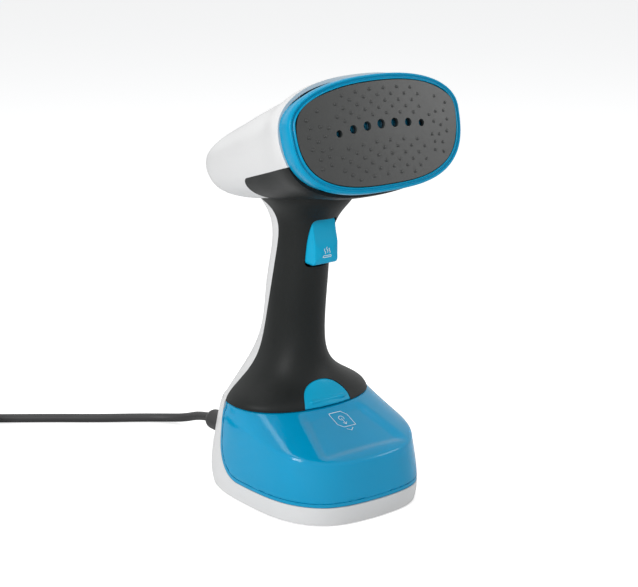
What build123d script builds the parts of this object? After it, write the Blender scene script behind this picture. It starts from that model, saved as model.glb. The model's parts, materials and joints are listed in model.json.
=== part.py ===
from build123d import *
from math import cos, pi, radians, sin, tan
import os

# A handheld garment steamer that stands on its own foot.
# Millimetres, +Z up, the steam plate faces -Y. The origin is the middle of the foot, on the table.

# ---------------------------------------------------------------- driving dimensions

# Base: a superellipse plan, wider in front of its middle line than a plain ellipse.
base_half_width = 57.4
base_front = 73.0
base_rear = 71.0
base_front_power = 2.92
base_rear_power = 2.51
foot_clearance = 0.8
plate_line = 3.2
deck_height = 13.4
deck_flare = 1.1
skirt_line = 63.5
wall = 2.4
fit_gap = 0.3

# Skirt, where it meets the tank
skirt_half_width = 52.0
skirt_middle = 15.0
skirt_front = 37.0
skirt_rear = 41.5
skirt_ledge = 0.6

# Tank bay: flat deck, rounded heel, upright rear wall.
bay_wall_y = 29.0
heel_radius = 25.0
tank_gap = 0.4
tank_wall = 2.2
crest_height = 52.3
crest_slope = 0.15
crest_round = 3.0
skirt_gap = 0.5
cap_y = 12.0
cap_radius = 10.2
cap_pocket = 5.0
fill_radius = 6.5
valve_radius = 6.5
valve_front = 12.0
plunger_radius = 2.5
pickup_rise = 9.2
socket_radius = 6.0
socket_height = 47.0
nozzle_radius = 4.0

# Head: built about an axis that falls towards the rear.
head_tilt = 14.0
head_y = -74.4
head_z = 256.8
head_wall = 2.2
head_length = 163.0
ring_depth = 17.0
plate_half_width = 63.1
plate_up = 23.5
plate_down = 40.5
plate_middle = 8.5
plate_up_power = 2.23
plate_down_power = 2.78
plate_thick = 3.0
plate_bow_radius = 756.0
ring_margin = 4.9
ring_gap = 0.5
cradle_rear = 92.0
cradle_corner = 10.0
cradle_front_up = -11.5
cradle_rear_up = -16.0
head_tail = 120.0
ledge_front = 6.0
ledge_rear = 8.5

# Steam generator, distances behind the plate's face
diffuser_front = 6.2
diffuser_rear = 10.0
boiler_front = 11.0
boiler_rear = 30.0
element_radius = 3.4

# Steam holes
hole_count = 7
hole_pitch = 10.9
hole_radius = 3.0
end_hole_radius = 2.3
hole_row = -3.1 + 8.5
hole_drop = 2.7

# Trigger
trigger_half_width = 9.5
trigger_gap = 0.4
trigger_corner = 3.0
trigger_top = 191.0
trigger_bottom = 159.4
trigger_pin_y = -7.0
trigger_pin_z = 186.0
trigger_pin_radius = 1.5
pin_clearance = 0.05
pin_reach = 12.2
lug_radius = 4.0
cheek_x = 12.1
cheek_wide = 4.0
cheek_size = 9.0
trigger_back = -2.0
trigger_finger_y = 3.0
switch_button_z = 170.0
switch_front = 6.5
switch_deep = 10.0
plunger_gap = 0.3
plunger_radius_small = 1.2

# Release button
button_half_width = 19.0
button_top = 79.0
button_gap = 0.4
button_stem_z = 71.0
button_spring_length = 5.25
post_front = 13.0

# Frame inside the handle
ceiling_low = 64.4
ceiling_thick = 2.0
web_x = 13.4
web_thick = 1.6

# Pump
pump_radius = 11.0
pump_bottom = 100.0
pump_length = 42.0
pump_y = 16.0
piston_radius = 3.0
spigot_radius = 2.6
tube_radius = 3.4
tube_rear_y = 44.0
wire_x = 7.0
wire_y = 42.0

# Screws
screw_radius = 1.4
screw_head_radius = 2.8
screw_head = 1.8

# Cord
cord_diameter = 6.4
boot_height = 14.5
boot_tip_y = 122.0
boot_radius = 8.0
boot_flange_radius = 9.0
rear_wall_y = base_rear + 1.3 * deck_flare
boot_inside = rear_wall_y - wall - 4.3
terminal_y = 44.0
cord_end_back = 16.0
coil_turn_radius = 35.0
coil_wide = 3
coil_high = 3

# Plug, lying on the coil
plug_angle = 150.0
plug_shift = (8, -30, 0)
plug_length = 46.0
plug_width = 33.0
plug_high = 16.0
pin_pitch = 19.0
plug_pin_radius = 2.4
plug_pin_length = 19.0

outline_steps = 20


# ---------------------------------------------------------------- shapes by formula

def superellipse(half_width, up, down, up_power, down_power, middle=0.0):
    """Points round a closed outline. Its widest line is at middle, up and down are its reaches from there."""
    points = []
    for step in range(outline_steps):
        angle = 2 * pi * (step + 0.5) / outline_steps
        c = cos(angle)
        s = sin(angle)
        reach = up if s > 0 else down
        power = up_power if s > 0 else down_power
        radius = (abs(c / half_width) ** power + abs(s / reach) ** power) ** (-1 / power)
        points.append((radius * c, middle + radius * s))
    return points


def flat_section(plane, points):
    """A face bounded by a smooth closed curve through the points."""
    return plane * make_face(Spline(*points, periodic=True))


def level(height, points, slope=0.0):
    """A section at a height, in a plane that may rise towards the rear."""
    tip = Plane(origin=(0, 0, height), x_dir=(1, 0, 0), z_dir=(0, -slope, 1))
    return flat_section(tip, points)


def along_x(points_yz, half_width):
    """A prism along X whose side profile is a closed outline of (y, z) edges or points."""
    face = make_face(Polyline(*[(0, y, z) for y, z in points_yz], close=True))
    return extrude(face, half_width, dir=(1, 0, 0), both=True)


def slab(low, high):
    """A box between two heights, wider than the whole object."""
    return Pos(0, 0, (low + high) / 2) * Box(600, 600, high - low)


def rod(radius, start, end):
    """A straight round bar from one point to another."""
    start = Vector(start)
    way = Vector(end) - start
    return extrude(Plane(origin=start, z_dir=way) * Circle(radius), way.length)


def tube_along(points, radius, radii, bore=0.0):
    """A round tube along straight runs that are joined by tangent arcs."""
    path = FilletPolyline(*points, radius=radii)
    place = Plane(origin=path @ 0, z_dir=path % 0)
    ring = Circle(radius)
    if bore:
        ring = ring - Circle(bore)
    return sweep(place * ring, path=path)


# ---------------------------------------------------------------- base block

def base_sections(inset):
    """Height, half width, middle, front, rear and rear power of the base, moved in by inset."""
    flare = deck_flare
    rows = [
        (foot_clearance, base_half_width, 0, base_front, base_rear, base_rear_power),
        (deck_height, base_half_width + flare, 0, base_front + 1.4 * flare, base_rear + 1.3 * flare, base_rear_power),
        (35.0, base_half_width, 0, base_front - 1.1, base_rear - 3.5, base_rear_power),
        (53.0, base_half_width - 1.6, 4, base_front + 0.4, base_rear - 12.5, 2.4),
        (skirt_line, skirt_half_width + skirt_ledge, skirt_middle, base_front + 9, skirt_rear + skirt_ledge, 2.2),
    ]
    return [(z, w - inset, m, f - inset, r - inset, p) for z, w, m, f, r, p in rows]


def base_block(inset=0.0):
    """The outer form of the foot, tank and rear wall together."""
    faces = []
    for z, half_width, middle, front, rear, power in base_sections(inset):
        points = superellipse(half_width, rear, front, power, base_front_power, middle)
        faces.append(level(z, points))
    return loft(faces)


# ---------------------------------------------------------------- skirt and handle


# Height, half width, middle, reach to the front, reach to the rear, power
handle_sections = [
    (skirt_line, skirt_half_width, skirt_middle, skirt_front, skirt_rear, 2.2),
    (74.0, 41.0, 16.5, 31.2, 40.0, 2.05),
    (86.0, 26.0, 18.2, 26.0, 37.6, 2.0),
    (98.0, 20.6, 19.0, 24.8, 31.0, 2.0),
    (130.0, 19.0, 16.5, 23.4, 23.6, 2.0),
    (165.0, 18.3, 11.2, 22.4, 21.2, 2.0),
    (185.0, 19.6, 8.0, 24.4, 24.4, 2.0),
    (197.0, 24.0, 3.6, 28.2, 38.0, 2.0),
    (212.0, 29.5, 1.2, 32.5, 51.0, 2.0),
]


def handle_column(inset=0.0):
    """The outer form of the skirt and the handle, up into the head."""
    faces = []
    for z, half_width, middle, front, rear, power in handle_sections:
        points = superellipse(half_width - inset, rear - inset, front - inset, power, power, middle)
        faces.append(level(z, points))
    return loft(faces)


def parting_sheet(shift=0.0, low=deck_height):
    """Everything behind the line where the white rear cover meets the grey grip and the tank."""
    wall_y = bay_wall_y + shift
    line = [(wall_y, skirt_line), (wall_y + 2.5, 76), (wall_y + 2.5, 90), (wall_y + 0.5, 103),
            (wall_y - 7, 130), (wall_y - 15, 163), (wall_y - 18.8, 178), (wall_y - 19.5, 189),
            (wall_y - 16, 196.5), (wall_y - 2, 200), (wall_y + 40, 200.5)]
    rise = Spline(*[(0, y, z) for y, z in line], tangents=[(0, 0, 1), (0, 1, 0)])
    radius = heel_radius + shift
    half = radius * (1 - cos(pi / 4))
    bend = ThreePointArc((0, wall_y - radius, low), (0, wall_y - half, low + half), (0, wall_y, low + radius))
    upright = Line((0, wall_y, low + radius), (0, wall_y, skirt_line))
    end_y, end_z = line[-1]
    rest = Polyline((0, end_y, end_z), (0, 140, end_z), (0, 140, -40), (0, -140, -40), (0, -140, low),
                    (0, wall_y - radius, low))
    return extrude(make_face([rise, bend, upright, rest]), 120, dir=(1, 0, 0), both=True)


# ---------------------------------------------------------------- head, in its own tilted frame

head_place = Location((0, head_y, head_z), (-head_tilt, 0, 0))


def across(depth):
    """A plane square to the head's axis. Its own up is the head's up."""
    return Plane(origin=(0, depth, 0), x_dir=(1, 0, 0), z_dir=(0, -1, 0))


def plate_outline(margin):
    """The steam plate's outline, moved out by margin."""
    return superellipse(plate_half_width + margin, plate_up + margin, plate_down + margin,
                        plate_up_power, plate_down_power, plate_middle)


def head_section(depth, inset):
    """The head's outline at a depth behind the plate, rounded off towards its tail."""
    share = (depth - ring_depth) / (head_length - ring_depth)
    half_width = 66.5 - 29.5 * share
    top = 38.5 - 26.5 * share
    low = -38.0 + 11.0 * share ** 1.6
    past = max(0.0, (depth - head_tail) / (head_length - head_tail))
    shrink = (1 - past ** 2.8) ** (1 / 2.8)
    centre = (top + low) / 2 * 0.55
    middle = centre + (plate_middle - 2 - centre) * max(0.0, 1 - share * 1.2)
    up = (top - middle) * shrink - inset
    down = (middle - low) * shrink - inset
    return superellipse(half_width * (0.25 + 0.75 * shrink) - inset, up, down, 2.3, 2.6, middle)


def head_form(inset=0.0):
    """The outer form of the head behind the ring, as a solid."""
    depths = [ring_depth, 40, 65, 90, 112, 130, 144, 153, 158.5]
    faces = [flat_section(across(d), head_section(d, 0)) for d in depths]
    if inset:
        inner = [ring_depth, 40, 65, 90, 112, 130, 144, 153]
        faces = [flat_section(across(d - (2.0 if d > head_tail else 0)), head_section(d, inset)) for d in inner]
    return loft(faces)


def cradle_zone():
    """The lower front part of the head's skin, which belongs to the grip. Its rear corner is round."""
    front = ring_depth - 30
    edge = Line((0, front, cradle_front_up), (0, cradle_rear - cradle_corner, cradle_rear_up))
    turn = 0.3 * cradle_corner
    corner = ThreePointArc(edge @ 1, (0, cradle_rear - turn, cradle_rear_up - turn),
                           (0, cradle_rear, cradle_rear_up - cradle_corner))
    rest = Polyline(corner @ 1, (0, cradle_rear, -90), (0, front, -90), edge @ 0)
    return extrude(make_face([edge, corner, rest]), 120, dir=(1, 0, 0), both=True)


# ---------------------------------------------------------------- masters, made once

block = base_block()
block_inside = base_block(wall)
column = handle_column()
column_inside = handle_column(wall)
column_clear = handle_column(wall + 3 * fit_gap)
head_outside = head_place * head_form()
head_inside = head_place * head_form(head_wall)
behind = parting_sheet()
skirt_zone = Pos(0, 0, skirt_line + 100) * Box(300, 300, 200)


# ---------------------------------------------------------------- casings

def boss(x, y, low, high, bore=screw_radius):
    """A round post that takes a screw from below."""
    return rod(bore + 2.2, (x, y, low), (x, y, high)) - rod(bore, (x, y, low), (x, y, high - 2))


def base_inside(y):
    """Half the width inside the foot's wall at a distance behind or in front of the middle."""
    reach = base_rear if y > 0 else base_front
    power = base_rear_power if y > 0 else base_front_power
    return base_half_width * (1 - (abs(y) / reach) ** power) ** (1 / power) - wall


base_screw_spots = [(side * (base_inside(y) - 2.6), y) for y in (-35, 38) for side in (-1, 1)]


def rear_cover():
    """White foot, rear wall and spine: open below and towards the grip."""
    cavity = block_inside & parting_sheet(wall, deck_height - wall)
    shell = (block & behind & slab(plate_line, skirt_line)) - cavity
    spine = (column & behind) - column_inside - head_outside
    shell = shell + spine
    for x, y in base_screw_spots:
        shell = shell + boss(x, y, plate_line, deck_height - wall)
    shell = shell - rod(boot_radius + 0.4, (0, 60, boot_height), (0, 90, boot_height))
    return shell - rod(socket_radius, (0, bay_wall_y - 1, socket_height), (0, bay_wall_y + wall + 1, socket_height))


def button_zone(grow):
    """The arch that the release button fills, run through the skirt's front."""
    arch = Pos(0, skirt_line) * Ellipse(button_half_width + grow, button_top - skirt_line + grow)
    foot = Pos(0, skirt_line - 10) * Rectangle(2 * (button_half_width + grow), 20)
    return extrude(Plane(origin=(0, 5, 0), x_dir=(1, 0, 0), z_dir=(0, -1, 0)) * (arch + foot), 60)


def trigger_zone(grow, low, high):
    """A prism of the trigger's front outline with round corners, grown all round."""
    tall = high - low + 2 * grow
    wide = 2 * (trigger_half_width + grow)
    box = Pos(0, -15, (low + high) / 2) * Box(wide, 50, tall)
    return fillet(box.edges().filter_by(Axis.Y), trigger_corner + grow)


def pin_rod(radius, reach):
    """A bar on the trigger's axis that reaches as far to both sides."""
    return Pos(0, trigger_pin_y, trigger_pin_z) * Rot(0, 90, 0) * Cylinder(radius, 2 * reach)


def front_grip():
    """Dark skirt, front of the handle with two cheeks for the pin, and the cradle under the head."""
    shell = (column & skirt_zone) - behind - head_outside
    cradle = (head_outside & (head_place * cradle_zone())) - head_inside
    shell = shell + cradle
    shell = shell - column_inside
    shell = shell - button_zone(button_gap)
    shell = shell - trigger_zone(trigger_gap, trigger_bottom - 1.5, trigger_top)
    for side in (-1, 1):
        cheek = Pos(side * cheek_x, trigger_pin_y, trigger_pin_z) * Box(cheek_wide, cheek_size, cheek_size)
        shell = shell + (cheek & column & slab(trigger_pin_z - cheek_size, trigger_pin_z + cheek_size))
    return shell - pin_rod(trigger_pin_radius, pin_reach)


def head_shell():
    """White hood behind the ring."""
    return head_outside - head_inside - (head_place * cradle_zone()) - column_inside


def ring_section(depth, margin):
    return flat_section(across(depth), plate_outline(margin))


def bow(distance):
    """A cylinder whose front face has the plate's slight bow, that far behind the plate's face."""
    radius = plate_bow_radius - distance
    return Pos(0, plate_bow_radius, 0) * Cylinder(radius, 400)


def face_ring():
    """Blue ring that frames the plate and covers the head's front edge."""
    outer = loft([ring_section(-4, ring_margin - 1.4), ring_section(4, ring_margin),
                  ring_section(ring_depth, ring_margin - 2.6)])
    inner = loft([ring_section(-5, ring_gap + 0.6), ring_section(4.0, ring_gap), ring_section(ring_depth + 1, ring_gap)])
    ring = (outer & bow(-0.8)) - inner
    rim = ring.edges().filter_by(lambda e: e.bounding_box().size.X > 120 and e.center().Y < 4)
    ring = fillet(rim.sort_by(SortBy.LENGTH)[-1:], 1.6)
    ledge = loft([ring_section(ledge_front, ring_gap), ring_section(ledge_rear, ring_gap)])
    ledge = ledge - loft([ring_section(ledge_front, -3.0), ring_section(ledge_rear, -3.0)])
    return head_place * (ring + ledge)


def hole_places():
    """Local x and up of each steam hole: a row whose ends dip."""
    middle = (hole_count - 1) / 2
    places = []
    for index in range(hole_count):
        offset = index - middle
        drop = hole_drop * (offset / middle) ** 2
        radius = hole_radius - (hole_radius - end_hole_radius) * (offset / middle) ** 2
        places.append((offset * hole_pitch, hole_row - drop, radius))
    return places


def steam_plate():
    """Bowed dark plate with its row of steam holes."""
    body = loft([ring_section(-3, 0), ring_section(9, 0)])
    body = (body & bow(0)) - bow(plate_thick)
    for x, up, radius in hole_places():
        body = body - rod(radius, (x, -5, up), (x, 12, up))
    return head_place * body


def ring_slab(margin, front, rear, hole_margin=None):
    body = loft([ring_section(front, margin), ring_section(rear, margin)])
    if hole_margin is not None:
        body = body - loft([ring_section(front - 1, hole_margin), ring_section(rear + 1, hole_margin)])
    return body


def plate_seal():
    """Soft ring between the plate's back and the ledge of the ring."""
    body = ring_slab(-1.0, 2.0, ledge_front, -3.2) & bow(plate_thick)
    return head_place * body


def steam_diffuser():
    """Blue plate behind the holes, with a small nozzle in line with each."""
    body = ring_slab(-8.0, diffuser_front, diffuser_rear)
    for x, up, radius in hole_places():
        body = body + rod(radius - 0.8, (x, 4.2, up), (x, diffuser_front, up))
        body = body - rod(0.9, (x, 0, up), (x, 12, up))
    return head_place * body


def boiler_body():
    """Cast steam generator: a block with a spiral of ribs closed off by its cover."""
    body = ring_slab(-14.0, boiler_front, boiler_rear)
    chamber = ring_slab(-20.0, boiler_front - 1, boiler_rear - 9)
    ribs = [Pos(x, 14.0, 0) * Box(2.0, 12.0, 24.0) for x in (-27, -9, 9, 27)]
    chamber = chamber - ribs
    inlet = rod(4.0, (0, boiler_rear - 1, -8), (0, boiler_rear + 8, -8))
    body = body - chamber + inlet
    body = body - rod(1.6, (0, boiler_rear - 12, -8), (0, boiler_rear + 9, -8))
    for x, up in boiler_screw_spots:
        body = body - rod(screw_radius, (x, boiler_front - 1, up), (x, boiler_front + 10, up))
    return head_place * (body - element_path(3.5))


boiler_screw_spots = [(-44, 8), (44, 8), (-44, -8), (44, -8)]


def element_path(radius):
    """The sheathed heating element: a U inside the casting whose ends come out at its back."""
    low = -17.0
    depth = boiler_rear - 1.5
    points = [(-30, depth + 12, low), (-30, depth - 3, low), (30, depth - 3, low), (30, depth + 12, low)]
    return tube_along(points, radius, 8.0)


def heating_element():
    return head_place * element_path(element_radius)


def boiler_cover():
    """Thin plate that closes the steam chamber, with an outlet slot behind the row of holes."""
    body = ring_slab(-14.0, diffuser_rear, boiler_front)
    body = body - Pos(0, boiler_front, hole_row) * Box(60, 6, 4)
    for x, up in boiler_screw_spots:
        body = body - rod(screw_radius, (x, diffuser_rear - 1, up), (x, boiler_front + 1, up))
    return head_place * body


def boiler_screws():
    """Four screws through the cover into the casting."""
    group = []
    for x, up in boiler_screw_spots:
        group.append(rod(screw_radius, (x, diffuser_rear, up), (x, boiler_front + 9, up)))
    return head_place * Compound(children=group)


def boiler_brackets():
    """Two heat-proof arms that hang the casting from the head shell's roof and floor."""
    arms = []
    for side in (-1, 1):
        arm = Pos(side * 41, boiler_rear + 3, 6) * Box(8, 6, 110)
        arms.append(arm)
    group = Compound(children=arms)
    group = group & ((Pos(0, 0, 0) * head_form(head_wall)))
    return head_place * group


def thermostat():
    """Round snap thermostat clamped on the casting's back."""
    body = rod(8.0, (0, boiler_rear, 9), (0, boiler_rear + 7, 9))
    tabs = [Pos(x, boiler_rear + 9, 9) * Box(1.0, 4.0, 5.0) for x in (-5, 5)]
    return head_place * (body + tabs)


def thermal_fuse():
    """One-shot fuse in its sleeve, across the casting's back."""
    return head_place * rod(2.2, (-15, boiler_rear + 2.2, -2), (-4.5, boiler_rear + 2.2, -2))


# ---------------------------------------------------------------- trigger and switch


def trigger():
    """Bowed lever that turns on a pin near its top."""
    face = Spline((0, -15.0, trigger_top), (0, -16.8, trigger_top - 12), (0, -18.6, trigger_bottom + 7),
                  (0, -16.8, trigger_bottom + 1.5))
    rest = Polyline(face @ 1, (0, -12.5, trigger_bottom), (0, trigger_back, trigger_bottom + 1.0),
                    (0, trigger_back, trigger_top), face @ 0)
    body = extrude(make_face([face, rest]), trigger_half_width, dir=(1, 0, 0), both=True)
    dome = Pos(0, 13.4, 0) * Cylinder(32.5, 500)
    body = body & dome & trigger_zone(0, trigger_bottom, trigger_top)
    hollow = Pos(0, trigger_back, trigger_pin_z - 8) * Box(2 * trigger_half_width - 4, 16, 24)
    body = body - hollow
    lug = pin_rod(lug_radius, trigger_half_width)
    lug = lug - Pos(0, trigger_pin_y, trigger_pin_z) * Box(8, 3 * lug_radius, 3 * lug_radius)
    finger = Pos(0, trigger_finger_y - 7, switch_button_z) * Box(4, 14, 3)
    body = body + (lug & dome & trigger_zone(0, trigger_bottom, trigger_top)) + finger
    return body - pin_rod(trigger_pin_radius + pin_clearance, 20)


def trigger_pin():
    """Steel pin through the trigger's lugs into the grip's walls."""
    return pin_rod(trigger_pin_radius, pin_reach)


def switch_body():
    """Snap switch behind the trigger's finger, with a bore for its button."""
    body = Pos(0, switch_front + switch_deep / 2, switch_button_z + 4) * Box(6.4, switch_deep, 20)
    bore = rod(plunger_radius_small + pin_clearance, (0, switch_front - 1, switch_button_z), (0, switch_front + 2.9, switch_button_z))
    return body - bore


def switch_plunger():
    """The switch's own button, just ahead of the trigger's finger."""
    return rod(plunger_radius_small, (0, trigger_finger_y + plunger_gap, switch_button_z), (0, switch_front + 1, switch_button_z))


def trigger_spring():
    """Torsion spring: a few turns round the pin, with a leg to the trigger's back."""
    turns = Helix(pitch=1.0, height=4.0, radius=2.4, center=(0, 0, 0), direction=(1, 0, 0))
    wire = sweep(Plane(origin=turns @ 0, z_dir=turns % 0) * Circle(0.35), path=turns, is_frenet=True)
    return Pos(-2.0, trigger_pin_y, trigger_pin_z) * wire


# ---------------------------------------------------------------- release button


def release_button():
    """Arched panel in the skirt with a finger ridge, a stem and a hook over the tank."""
    panel = (column & button_zone(0)) - column_inside & slab(skirt_line + 0.4, 200)
    ridge = rod(1.5, (-13, -19.2, 67.4), (13, -19.2, 67.4)) + [Pos(x, -19.2, 67.4) * Sphere(1.5) for x in (-13, 13)]
    stem = Pos(0, -6.0, button_stem_z) * Box(10, 20, 3)
    hook = Pos(0, 3.0, (button_stem_z + hook_tip_z) / 2) * Box(10, 2.0, button_stem_z - hook_tip_z)
    inner = handle_column(0.6)
    return panel + ridge + ((stem + hook) & inner)


hook_tip_z = skirt_line - skirt_gap + 0.3


def button_spring():
    """Compression spring between the stem's end and the frame's post."""
    coil = Helix(pitch=1.75, height=button_spring_length, radius=2.2, center=(0, 0, 0), direction=(0, 1, 0))
    wire = sweep(Plane(origin=coil @ 0, z_dir=coil % 0) * Circle(0.4), path=coil, is_frenet=True)
    return Pos(0, post_front - button_spring_length - 0.5, button_stem_z + 0.5) * wire


# ---------------------------------------------------------------- frame inside the handle


def frame_middle(height):
    """The handle's middle line at a height."""
    low, high = (105.0, 19.5), (176.0, 9.0)
    share = (height - low[0]) / (high[0] - low[0])
    return low[1] + share * (high[1] - low[1])


def inner_frame():
    """Ceiling over the tank with two upright webs that carry the pump and the switch."""
    ceiling = Pos(0, 40, ceiling_low + ceiling_thick / 2) * Box(200, 100, ceiling_thick)
    ceiling = ceiling - rod(5.0, (0, tube_rear_y, 60), (0, tube_rear_y, 70))
    ceiling = ceiling - (Pos(0, 0, ceiling_low) * Box(14, 14, 20))
    ceiling = ceiling - [rod(2.0, (x, wire_y, 60), (x, wire_y, 70)) for x in (-wire_x, wire_x)]
    low = ceiling_low + ceiling_thick
    outline = [(frame_middle(low) - 7, low), (frame_middle(low) + 7, low),
               (frame_middle(186) + 9, 186), (frame_middle(186) - 5, 186)]
    web = along_x(outline, web_thick / 2)
    frame = ceiling
    for side in (-1, 1):
        frame = frame + Pos(side * web_x, 0, 0) * web
    for height in (pump_bottom - 3.5, pump_bottom + pump_length + 1.5):
        shelf = Pos(0, frame_middle(height), height + 1) * Box(2 * web_x, 12, 2)
        frame = frame + (shelf - rod(4.0, (0, pump_y, height - 4), (0, pump_y, height + 6)))
    post = Pos(0, post_front + 1, button_stem_z) * Box(9, 2.0, 2 * (button_stem_z - low))
    frame = frame + (post & slab(low - 0.5, 90))
    tray = Pos(0, frame_middle(185), 186.0) * Box(2 * web_x, 11, 2)
    ledge = Pos(0, switch_front + switch_deep + 1, switch_button_z + 4) * Box(2 * web_x, 2, 12)
    return (frame + tray + ledge) & column_clear


# ---------------------------------------------------------------- pump and tubes

def pump_body():
    """Small solenoid pump with a spigot at each end."""
    top = pump_bottom + pump_length
    body = rod(pump_radius, (0, pump_y, pump_bottom), (0, pump_y, top))
    body = body + rod(spigot_radius, (0, pump_y, pump_bottom - 6), (0, pump_y, pump_bottom))
    body = body + rod(spigot_radius, (0, pump_y, top), (0, pump_y, top + 6))
    return body - rod(piston_radius + pin_clearance, (0, pump_y, pump_bottom + 6), (0, pump_y, top - 6))


def pump_piston():
    """The pump's sliding core."""
    return rod(piston_radius, (0, pump_y, pump_bottom + 10), (0, pump_y, pump_bottom + 30))


def pump_mounts():
    """Two rubber rings that hold the pump off its shelves."""
    low = rod(6.5, (0, pump_y, pump_bottom - 1.5), (0, pump_y, pump_bottom))
    top = pump_bottom + pump_length
    high = rod(6.5, (0, pump_y, top), (0, pump_y, top + 1.5))
    core = rod(spigot_radius, (0, pump_y, pump_bottom - 9), (0, pump_y, top + 9))
    return Compound(children=[low - core, high - core])


def suction_tube():
    """Soft tube from the tank socket to the pump's foot."""
    end = pump_bottom - 6
    points = [(0, bay_wall_y + 9, socket_height), (0, tube_rear_y, socket_height), (0, tube_rear_y, 74),
              (0, pump_y, 82), (0, pump_y, end)]
    return tube_along(points, tube_radius, [5.9, 9.0, 6.0], 1.6)


def boiler_inlet():
    """Where the pressure tube meets the casting's inlet."""
    return head_place * Pos(0, boiler_rear + 8, -8)


def pressure_tube():
    """Soft tube from the pump's head up to the steam generator."""
    start = pump_bottom + pump_length + 6
    tip = boiler_inlet().position
    points = [(0, pump_y, start), (0, pump_y, start + 5), (0, 25.0, start + 15), (0, 22.0, 196), (0, 2.0, 222),
              (0, tip.Y + 12, tip.Z + 12 * sin(radians(-head_tilt))), (0, tip.Y, tip.Z)]
    return tube_along(points, tube_radius - 0.6, [5, 8, 12, 14, 9], 1.4)


# ---------------------------------------------------------------- tank

def tank_hull(inset):
    """The tank's top: a crest in a rising plane, then a shoulder up to the skirt's edge."""
    wide = 0.2
    crest = superellipse(base_half_width - 1.2 + wide - inset, base_rear - 8 - inset, base_front - 1.9 + wide - inset,
                         2.4, base_front_power, 1.0)
    low = superellipse(base_half_width + 8, base_rear + 4, base_front + 8, 2.4, base_front_power, 1.0)
    top = superellipse(skirt_half_width - inset, skirt_rear - inset, skirt_front - inset, 2.2, 2.2, skirt_middle)
    drop = inset * 1.05
    lower = loft([level(-12, low, crest_slope), level(crest_height - drop, crest, crest_slope)], ruled=True)
    upper = loft([level(crest_height - drop, crest, crest_slope), level(skirt_line - skirt_gap - inset, top)], ruled=True)
    return lower + upper


def tank_form(inset):
    """The tank's form moved in by inset."""
    form = base_block(inset) & tank_hull(inset)
    return form - parting_sheet(-tank_gap - inset, deck_height + tank_gap + inset)


tank_top = skirt_line - skirt_gap


def tank_whole():
    """Outer form of the tank, its crest rounded."""
    form = tank_form(0)
    crest = form.edges().filter_by(lambda e: e.bounding_box().size.X > 90 and 36 < e.center().Z < 61)
    return fillet(crest, crest_round)


def tank_pair():
    """The upper shell and the welded back and floor."""
    whole = tank_whole()
    hollow = tank_form(tank_wall)
    back_zone = parting_sheet(-tank_gap - tank_wall, deck_height + tank_gap + tank_wall)
    pocket = rod(cap_radius + 2.4, (0, cap_y, tank_top - cap_pocket - tank_wall), (0, cap_y, tank_top - 0.5))
    pocket = pocket & hollow
    shell = (whole - hollow + pocket) - back_zone
    shell = shell - rod(cap_radius + 0.4, (0, cap_y, tank_top - cap_pocket), (0, cap_y, tank_top + 5))
    shell = shell - rod(fill_radius, (0, cap_y, 40), (0, cap_y, tank_top))
    back = (whole - hollow) & back_zone
    back = back - rod(valve_radius, (0, 0, socket_height), (0, 60, socket_height))
    return shell, back


def filler_cap():
    """Cap with a finger bar that turns a quarter to lock."""
    floor = tank_top - cap_pocket
    body = rod(cap_radius, (0, cap_y, floor + 1.1), (0, cap_y, floor + 2.6))
    body = body + rod(fill_radius - pin_clearance, (0, cap_y, floor - 4), (0, cap_y, floor + 2))
    bar = Pos(0, cap_y, floor + 3.4) * Box(2 * cap_radius - 4, 3, 2.2)
    return body + bar


def filler_seal():
    """Flat ring under the cap."""
    floor = tank_top - cap_pocket
    ring = rod(cap_radius - 0.6, (0, cap_y, floor), (0, cap_y, floor + 1.0))
    return ring - rod(fill_radius + 0.3, (0, cap_y, floor - 1), (0, cap_y, floor + 2))


def outlet_valve():
    """Valve housing through the tank's back, with a pick-up pipe to the floor."""
    face = bay_wall_y - tank_gap
    body = rod(valve_radius, (0, valve_front, socket_height), (0, face, socket_height))
    body = body + rod(valve_radius + 1, (0, face - tank_wall - 2, socket_height), (0, face - tank_wall, socket_height))
    pipe = rod(2.2, (0, valve_front + 4, deck_height + pickup_rise), (0, valve_front + 4, socket_height - 4))
    body = body + pipe
    body = body - rod(nozzle_radius + 0.4, (0, face - 3.2, socket_height), (0, face + 1, socket_height))
    body = body - rod(plunger_radius + pin_clearance, (0, valve_front + 1.5, socket_height), (0, face, socket_height))
    return body - rod(1.2, (0, valve_front + 4, deck_height + pickup_rise - 1), (0, valve_front + 4, socket_height))


def valve_plunger():
    """Spring-loaded plunger that opens when the tank is pushed home."""
    face = bay_wall_y - tank_gap
    return rod(plunger_radius, (0, valve_front + 8.5, socket_height), (0, face - 3.4, socket_height))


def valve_spring():
    coil = Helix(pitch=1.15, height=3.45, radius=1.9, center=(0, 0, 0), direction=(0, 1, 0))
    wire = sweep(Plane(origin=coil @ 0, z_dir=coil % 0) * Circle(0.3), path=coil, is_frenet=True)
    return Pos(0, valve_front + 1.9, socket_height) * wire


def tank_socket():
    """Spigot in the bay wall that the tank's valve pushes on to."""
    body = rod(socket_radius, (0, bay_wall_y, socket_height), (0, bay_wall_y + 4, socket_height))
    body = body + rod(socket_radius + 2, (0, bay_wall_y + wall, socket_height), (0, bay_wall_y + 5, socket_height))
    body = body + rod(nozzle_radius, (0, bay_wall_y - 3.0, socket_height), (0, bay_wall_y, socket_height))
    body = body + rod(spigot_radius, (0, bay_wall_y + 5, socket_height), (0, bay_wall_y + 9, socket_height))
    return body - rod(1.4, (0, bay_wall_y - 4, socket_height), (0, bay_wall_y + 10, socket_height))


# ---------------------------------------------------------------- foot

def foot_prism(inset):
    """A low upright prism of the foot's section at the plate, moved in by inset."""
    points = superellipse(base_half_width - inset, base_rear - inset, base_front - inset, base_rear_power, base_front_power)
    return extrude(level(plate_line, points), 2)


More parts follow.
